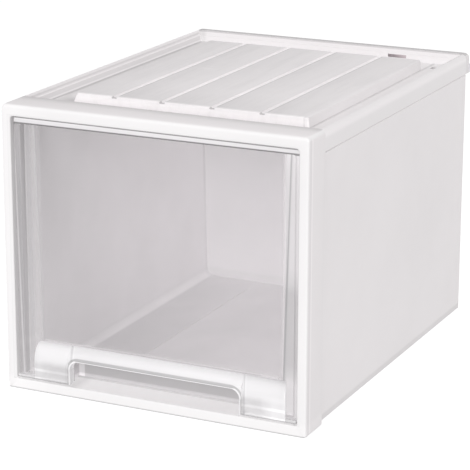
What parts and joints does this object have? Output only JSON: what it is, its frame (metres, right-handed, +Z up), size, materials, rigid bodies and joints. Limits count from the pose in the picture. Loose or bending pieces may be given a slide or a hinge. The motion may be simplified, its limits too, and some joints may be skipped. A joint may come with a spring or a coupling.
{
  "type": "stackable drawer box",
  "caption": "Rectangular stackable storage box with a rimmed, grooved top, a front frame and a clear-fronted drawer that slides out on side runners, pulled by a lip over a finger slot.",
  "frame": {"origin": "centre of the footprint on the surface the box stands on", "axes": "+X to the right seen from the front, +Y towards the back, +Z up; the drawer opens towards -Y"},
  "size_m": [0.3, 0.4, 0.268],
  "materials": {
    "white_shell": "satin, fine moulded texture",
    "white_inner": "satin",
    "clear_front": "clear gloss moulding",
    "cloudy_tray": "translucent moulding"
  },
  "bodies": {
    "case": {"front_frame": "white_shell", "top_panel": "white_shell", "left_side_panel": "white_shell", "right_side_panel": "white_shell", "back_panel": "white_shell", "base_panel": "white_inner", "rear_feet": "white_inner", "left_runner": "white_inner", "right_runner": "white_inner", "drawer_stops": "white_inner"},
    "drawer": {"drawer_tray": "cloudy_tray", "drawer_front": "clear_front", "drawer_pull": "clear_front", "finger_pocket": "clear_front", "tray_lugs": "cloudy_tray"}
  },
  "joints": [
    {"name": "drawer_slide", "type": "slide", "parent": "case", "child": "drawer", "axis": [0, -1, 0], "range_m": [0, 0.3]}
  ]
}
